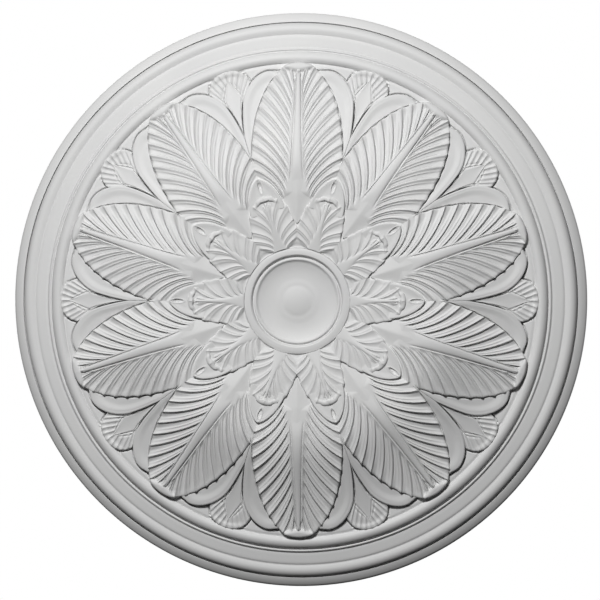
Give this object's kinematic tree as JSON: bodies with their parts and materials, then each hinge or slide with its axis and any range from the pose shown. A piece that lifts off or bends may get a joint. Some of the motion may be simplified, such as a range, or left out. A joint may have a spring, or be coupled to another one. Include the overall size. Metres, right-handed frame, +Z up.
{
  "type": "ceiling rose",
  "caption": "Round moulded ceiling rose with a dished centre, a ring, small and long fluted leaves and a moulded rim, flat at the back for fixing to a ceiling.",
  "frame": {"origin": "centre of the flat back face, which lies against the ceiling", "axes": "+Z up, out of the back and into the ceiling, with the carved face looking down; +Y towards the tip of one long leaf"},
  "size_m": [0.575, 0.575, 0.0563],
  "materials": {
    "casting": "matt off-white primer on a moulded hard foam casting"
  },
  "bodies": {
    "root": {"ceiling_rose": "casting"}
  },
  "joints": []
}
